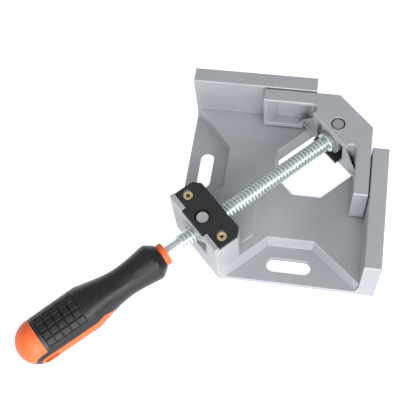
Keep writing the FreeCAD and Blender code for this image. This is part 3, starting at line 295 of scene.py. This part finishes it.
black_plate, nodes, links, shader = new_material("blackened_plate", (0.013, 0.015, 0.017), 0.45)
place = grain_bump(nodes, links, shader, size=0.0004, height=0.00001)
cloud = mottle(nodes, links, place, (0.009, 0.010, 0.012), (0.017, 0.019, 0.021), size=0.006)
# Painted shade: the plate's edges and hole rims turn black and lose their shine.
painted_edge_shade = edge_share(nodes, links, rounded_edges(nodes, radius=0.0013))
links.new(colour_mix(nodes, links, painted_edge_shade, cloud, (0.001, 0.001, 0.001)), shader.inputs["Base Color"])
fading_shine(nodes, links, shader, painted_edge_shade, clean=0.5, dull=0.1)
for node in ("nut_cover_plate", "jaw_retaining_plate"):
    dress(node, black_plate)


# The plates' four screws: countersunk, cold formed from steel and yellow zinc plated. A rim stands
# round each slightly sunk face, and the cross has tapered wings, dark with oil and with painted shade.
def sunk_colour(nodes, links, shader, base, sunk_tone):
    """Turns a linked colour darker, as painted shade in hollows, where the mesh's own recess attribute is
    above 0; gives that share.
    """
    sunk = nodes.new("ShaderNodeAttribute")
    sunk.attribute_name = "recess"
    links.new(colour_mix(nodes, links, sunk.outputs["Fac"], base, sunk_tone), shader.inputs["Base Color"])
    return sunk.outputs["Fac"]


yellow_zinc, nodes, links, shader = new_material("yellow_zinc", (0.72, 0.58, 0.30), 0.36, metallic=0.8)
place = grain_bump(nodes, links, shader, size=0.0003, height=0.00001)
plating = mottle(nodes, links, place, (0.66, 0.52, 0.25), (0.80, 0.67, 0.40), size=0.002)
# The cross is darkened by oil and by painted shade.
sunk_colour(nodes, links, shader, plating, (0.035, 0.022, 0.008))


def lathe_grid(rows, around):
    """Faces of a tube of rows of points, closed round each row: four points of a face lie in two rows
    and two columns that follow each other. Point j of row i has the number i * around + j."""
    row, column = np.meshgrid(np.arange(rows - 1), np.arange(around), indexing="ij")
    following = (column + 1) % around
    near = row * around
    far = near + around
    corners = [near + column, near + following, far + following, far + column]
    return np.stack(corners, axis=-1).reshape(-1, 4)


def close_poles(piece):
    """Merges the points that lie together, at poles and seams, and turns all faces outwards."""
    shell = bmesh.new()
    shell.from_mesh(piece.data)
    bmesh.ops.remove_doubles(shell, verts=shell.verts, dist=1e-7)
    bmesh.ops.dissolve_degenerate(shell, edges=shell.edges, dist=1e-8)
    bmesh.ops.recalc_face_normals(shell, faces=shell.faces)
    shell.to_mesh(piece.data)
    shell.free()


def mark_recess(piece, share):
    """Keeps on each point how deep it is sunk, from 0 to 1, for the piece's material."""
    piece.data.attributes.new("recess", "FLOAT", "POINT").data.foreach_set("value", share)


seat_play = 0.00006
head_facets = 128
rim_step, rim_edge = 0.0001, 0.0003
point_length = 0.0006
cross_depth, grime_and_shade_depth, dish_depth = 0.0022, 0.0007, 0.00008
# The next ones are shares of the head's half width.
shank_share, point_share = 0.5, 0.35
fine_rings, fine_rings_end, coarse_rings = 30, 0.66, np.array([0.72, 0.8, 0.9, 0.95, 1.0])
wing_end, wing_fall = 0.60, 0.45
wing_half, wing_flank = 0.155, 0.05
dish_edge, dish_flank = 0.9, 0.12


def cross_screw(name, node, upwards, turn):
    """A countersunk screw in the place of its node. Height of the face: a dished disc less the cross,
    where a wing's depth falls off with the distance from the axis and is cut at the wing's half width.
    Round it, straight lines join the rim, the cone's end, the shank and the tip."""
    low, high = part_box(node)
    axis = (low + high) / 2
    length = high.z - low.z
    head = (high.x - low.x) / 2 - seat_play
    shank = head * shank_share
    rings = np.concatenate([np.linspace(0, head * fine_rings_end, fine_rings), head * coarse_rings])
    angle = np.linspace(0, 2 * np.pi, head_facets, endpoint=False)
    distance, bearing = np.meshgrid(rings, angle, indexing="ij")
    x = distance * np.cos(bearing)
    y = distance * np.sin(bearing)
    wing = np.minimum(np.abs(x), np.abs(y))
    along = np.maximum(np.abs(x), np.abs(y))
    cross = cross_depth * np.clip((head * wing_end - along) / (head * wing_fall), 0, 1)
    cross = cross * np.clip((head * wing_half - wing) / (head * wing_flank), 0, 1)
    face = -cross - dish_depth * np.clip((head * dish_edge - distance) / (head * dish_flank), 0, 1)
    face[-1] -= rim_step
    side = np.array([(head, -rim_edge), (shank, shank - head - rim_edge), (shank, point_length - length),
                     (head * point_share, -length), (0, -length)])
    side_x = np.outer(side[:, 0], np.cos(angle))
    side_y = np.outer(side[:, 0], np.sin(angle))
    side_z = np.repeat(side[:, 1:], head_facets, axis=1)
    top = np.stack([x, y, face], axis=-1).reshape(-1, 3)
    points = np.concatenate([top, np.stack([side_x, side_y, side_z], axis=-1).reshape(-1, 3)])
    points = points @ np.array(Matrix.Rotation(turn, 3, "Z")).T
    if not upwards:
        points = points * np.array([1.0, -1.0, -1.0])
    seat = high.z if upwards else low.z
    points = points + np.array([axis.x, axis.y, seat])
    piece = mesh_object(name, points, lathe_grid(len(points) // head_facets, head_facets))
    # How far each point lies in the oil and painted shade of the cross.
    sunk = np.clip(cross / grime_and_shade_depth, 0, 1).ravel()
    mark_recess(piece, np.concatenate([sunk, np.zeros(len(points) - len(sunk))]))
    close_poles(piece)
    piece.data.materials.append(yellow_zinc)
    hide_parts(node)
    return piece


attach(cross_screw("cover_screw_left_head", "cover_screw_left", True, 0.35), "frame")
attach(cross_screw("cover_screw_right_head", "cover_screw_right", True, 1.0), "frame")
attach(cross_screw("jaw_screw_left_head", "jaw_screw_left", False, 0.6), "jaw")
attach(cross_screw("jaw_screw_right_head", "jaw_screw_right", False, 0.1), "jaw")

# The round nut and the thrust washer: turned from steel bar and left dull, with painted shade darkening
# their edges. The end washer and the clip that holds the pivot block on the screw's tip are blued spring
# steel.
dull_steel, nodes, links, shader = new_material("turned_steel", (0.44, 0.45, 0.47), 0.5, metallic=0.3)
place = grain_bump(nodes, links, shader, size=0.0003, height=0.00001)
cloud = mottle(nodes, links, place, (0.38, 0.395, 0.41), (0.47, 0.48, 0.495), size=0.003)
# Painted shade: the nut's and the washer's edges go nearly black.
painted_edge_shade = edge_share(nodes, links, rounded_edges(nodes, radius=0.0008))
links.new(colour_mix(nodes, links, painted_edge_shade, cloud, (0.03, 0.03, 0.03)), shader.inputs["Base Color"])
for node in ("trunnion_nut", "thrust_washer"):
    dress(node, dull_steel)
blued_steel, nodes, links, shader = new_material("blued_steel", (0.06, 0.062, 0.068), 0.35, metallic=0.6)
place = grain_bump(nodes, links, shader, size=0.0003, height=0.00001)
cloud = mottle(nodes, links, place, (0.045, 0.047, 0.052), (0.085, 0.087, 0.092), size=0.003)
links.new(cloud, shader.inputs["Base Color"])
for node in ("end_washer", "retaining_clip"):
    dress(node, blued_steel)

# The screw: cut from one steel bar and bright zinc plated. A trapezoid thread of 3 mm pitch runs from
# the shank at the handle to the collar, which pushes the jaw's block through a washer.
bright_zinc, nodes, links, shader = new_material("bright_zinc", (0.67, 0.745, 0.755), 0.22, metallic=0.72)
place = grain_bump(nodes, links, shader, size=0.0008, height=0.000001)
plating = mottle(nodes, links, place, (0.62, 0.695, 0.705), (0.72, 0.785, 0.795), size=0.006)
# Painted shade and oil darken the thread's roots.
sunk_colour(nodes, links, shader, plating, (0.48, 0.54, 0.55))

screw_low, screw_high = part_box("spindle")
nut_low, nut_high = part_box("trunnion_nut")
washer_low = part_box("thrust_washer")[0]
clip_low, clip_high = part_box("retaining_clip")
screw_line = (screw_low.z + screw_high.z) / 2
pitch = 0.003
thread_crest, thread_root = 0.00597, 0.0044
thread_wide, thread_flank, thread_fade = 0.80, 0.22, 0.6
thread_behind_nut = 0.0232
shank_half = 0.0044
tip_half, tip_chamfer = 0.004, 0.0005
clip_groove_half = 0.0031
collar_half, collar_chamfer = (screw_high.z - screw_low.z) / 2, 0.0004
collar_long, washer_gap = 0.0030, 0.0002
collar_end = washer_low.x - washer_gap
collar_start = collar_end - collar_long
thread_stop = (nut_low.x + nut_high.x) / 2 - thread_behind_nut
station_step = 0.00015
spindle_facets = 80


def smooth_step(share):
    """Runs from 0 to 1 with level ends."""
    share = np.clip(share, 0, 1)
    return share * share * (3 - 2 * share)


def crest_share(along, bearing):
    """Share of the thread's height: one rounded trapezoid each pitch, shifted by a pitch a turn, and
    faded out over 0.6 of a pitch at both ends."""
    phase = np.mod(along / pitch - bearing / (2 * np.pi), 1.0)
    ends = np.clip(np.minimum(along - thread_stop, collar_start - along) / (thread_fade * pitch), 0, 1)
    return smooth_step((thread_wide - np.abs(phase - 0.5) * 2) / thread_flank) * ends


def crisp_rings(piece, around, rows):
    """Keeps the shading of a turned surface sharp at some of its rows of points."""
    ends = np.empty(len(piece.data.edges) * 2, dtype=np.int32)
    piece.data.edges.foreach_get("vertices", ends)
    row = ends.reshape(-1, 2) // around
    sharp = (row[:, 0] == row[:, 1]) & np.isin(row[:, 0], rows)
    piece.data.attributes.new("sharp_edge", "BOOLEAN", "EDGE").data.foreach_set("value", sharp)


# Radius at each station: straight lines along the shank, the collar and the tip with its clip groove,
# and along the thread the root plus the thread's height times the crest's share.
shank = np.array([(screw_low.x, 0.0), (screw_low.x, shank_half), (thread_stop, shank_half)])
threaded = np.arange(thread_stop + station_step, collar_start, station_step)
thread = np.column_stack([threaded, np.full(len(threaded), thread_root)])
collar_rim = collar_half - collar_chamfer
collar = np.array([(collar_start, thread_root), (collar_start, collar_rim),
                   (collar_start + collar_chamfer, collar_half), (collar_end - collar_chamfer, collar_half),
                   (collar_end, collar_rim), (collar_end, tip_half)])
tip = np.array([(clip_low.x, tip_half), (clip_low.x, clip_groove_half),
                (clip_high.x, clip_groove_half), (clip_high.x, tip_half),
                (screw_high.x - tip_chamfer, tip_half), (screw_high.x, tip_half - tip_chamfer),
                (screw_high.x, 0.0)])
along, plain = np.concatenate([shank, thread, collar, tip]).T
cut = np.repeat([False, True, False], [len(shank), len(thread), len(collar) + len(tip)])
angle = np.linspace(0, 2 * np.pi, spindle_facets, endpoint=False)
place_along, bearing = np.meshgrid(along, angle, indexing="ij")
crest = crest_share(place_along, bearing)
radius = plain[:, None] + cut[:, None] * (thread_crest - thread_root) * crest
across, up = radius * np.cos(bearing), screw_line + radius * np.sin(bearing)
points = np.stack([place_along, across, up], axis=-1).reshape(-1, 3)
spindle = mesh_object("threaded_spindle", points, lathe_grid(len(along), spindle_facets))
# The thread's roots carry the share of painted shade and oil.
mark_recess(spindle, (cut[:, None] * np.clip(1.0 - 2.0 * crest, 0, 1)).ravel())
crisp_rings(spindle, spindle_facets, np.flatnonzero(~cut))
close_poles(spindle)
spindle.data.materials.append(bright_zinc)
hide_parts("spindle")
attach(spindle, "screw")

# The handle's core: orange polypropylene with a faint moulded grain. Its front ring, side panels and
# butt are one moulding, pressed on the screw's tang.
orange, nodes, links, shader = new_material("orange_plastic", (0.86, 0.136, 0.032), 0.46)
shader.inputs["Specular IOR Level"].default_value = 0.45
place = grain_bump(nodes, links, shader, size=0.0004, height=0.00001)
cloud = mottle(nodes, links, place, (0.84, 0.128, 0.028), (0.88, 0.146, 0.037), size=0.012)
links.new(cloud, shader.inputs["Base Color"])
dress("handle_core", orange)

# The grip: soft charcoal rubber, moulded over the core, slightly wavy, with a fine grain and an
# uneven sheen from handling. Painted shade makes the grooves of its pattern darker and dull.
rubber, nodes, links, shader = new_material("charcoal_rubber", (0.006, 0.007, 0.009), 0.34)
shader.inputs["Specular IOR Level"].default_value = 0.48
grain_bump(nodes, links, shader, size=0.006, height=0.00012, detail=1.0)
place = grain_bump(nodes, links, shader, size=0.0005, height=0.00003)
cloud = mottle(nodes, links, place, (0.0045, 0.0055, 0.0075), (0.0075, 0.0085, 0.0105), size=0.01)
# Painted shade darkens the pattern's grooves and takes away their shine.
painted_groove_shade = sunk_colour(nodes, links, shader, cloud, (0.001, 0.001, 0.001))
fading_shine(nodes, links, shader, painted_groove_shade, clean=0.48, dull=0.05)
uneven = mottle(nodes, links, place, (0.27, 0.27, 0.27), (0.42, 0.42, 0.42), size=0.005)
links.new(uneven, shader.inputs["Roughness"])
dress("handle_grip", rubber)

# The grip's moulded pattern: a sunk field of raised square tiles on the thick part of the grip, of the
# grip's own rubber. One closed skin carries it and lies over the grip.
grip_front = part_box("handle_grip")[1].x
field_near, field_far = 0.0683, 0.0993
field_low, field_high = math.radians(39.0), math.radians(136.0)
tiles_along, tiles_around = 5, 5
stations_along, stations_around = 200, 190
cone_round, cone_slope, cone_start = 0.01715, 0.0116, 0.0647
field_floor, field_wall = 0.00002, 0.0003
field_rise, field_margin = 0.00035, 0.0030
tile_height, tile_gap_half, tile_flank = 0.00055, 0.00042, 0.00030
skin_edge, skin_depth, skin_sink = 0.0004, 0.0004, 0.00005
groove_shade = 0.55


def outside_field(back, turn_about, cone):
    """Distance past the field's outline, below zero inside it: the larger of the two distances along
    the axis and round it, each from the field's middle less half its size."""
    mid_back, mid_turn = (field_near + field_far) / 2, (field_low + field_high) / 2
    out_along = np.abs(back - mid_back) - (field_far - field_near) / 2
    out_around = (np.abs(turn_about - mid_turn) - (field_high - field_low) / 2) * cone
    return np.maximum(out_along, out_around)


def tile_share(back, turn_about, cone):
    """Share of a tile's height: a smooth step of the distance to the tile's nearest edge, less half
    the gap between tiles."""
    tile_long = (field_far - field_near) / tiles_along
    tile_wide = (field_high - field_low) / tiles_around
    in_long = tile_long / 2 - np.abs(np.mod(back - field_near, tile_long) - tile_long / 2)
    in_wide = (tile_wide / 2 - np.abs(np.mod(turn_about - field_low, tile_wide) - tile_wide / 2)) * cone
    return smooth_step((np.minimum(in_long, in_wide) - tile_gap_half) / tile_flank)


def skin_height(outside, tile):
    """Height above the grip's cone. Inside the field: its floor plus the tile height times the tile's
    share. Outside: a wall climbs by a smooth step from the floor to the margin, and the margin falls by
    a smooth step to just below the cone."""
    margin = field_rise * (1 - smooth_step(outside / field_margin)) - skin_sink * (outside > field_margin)
    rim = field_floor + (margin - field_floor) * smooth_step(outside / field_wall)
    return np.where(outside > 0, rim, field_floor + tile_height * tile)


def on_grip(radius):
    """Points round the handle's axis at a radius for each place of the field's grid."""
    across = -radius * np.cos(turn_about)
    up = screw_line + radius * np.sin(turn_about)
    return np.stack([grip_front - back, across, up], axis=-1).reshape(-1, 3)


# The skin: an upper face at that height, a lower one just under the cone, and a wall that joins them.
spread = (field_margin + skin_edge) / cone_round
back = np.linspace(field_near - field_margin - skin_edge, field_far + field_margin + skin_edge,
                   stations_along)
turn_about = np.linspace(field_low - spread, field_high + spread, stations_around)
back, turn_about = np.meshgrid(back, turn_about, indexing="ij")
cone = cone_round - cone_slope * (back - cone_start)
outside = outside_field(back, turn_about, cone)
tile = tile_share(back, turn_about, cone)
skin = np.concatenate([on_grip(cone + skin_height(outside, tile)), on_grip(cone - skin_depth)])
rows, columns = back.shape
row, column = np.meshgrid(np.arange(rows - 1), np.arange(columns - 1), indexing="ij")
first = row * columns + column
upper = np.stack([first, first + columns, first + columns + 1, first + 1], axis=-1).reshape(-1, 4)
lower = upper[:, ::-1] + rows * columns
number = np.arange(rows * columns).reshape(rows, columns)
ring = np.concatenate([number[0], number[1:, -1], number[-1, -2::-1], number[-2:0:-1, 0]])
following = np.roll(ring, -1)
side = np.stack([ring, following, following + rows * columns, ring + rows * columns], axis=-1)
tiles = mesh_object("grip_tiles", skin, np.concatenate([upper, lower, side]))
# The grooves between the tiles carry a share of painted shade.
groove = np.where(outside > 0, 0, groove_shade * (1 - tile)).ravel()
mark_recess(tiles, np.concatenate([groove, np.zeros(groove.size)]))
close_poles(tiles)
tiles.data.materials.append(rubber)
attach(tiles, "screw")
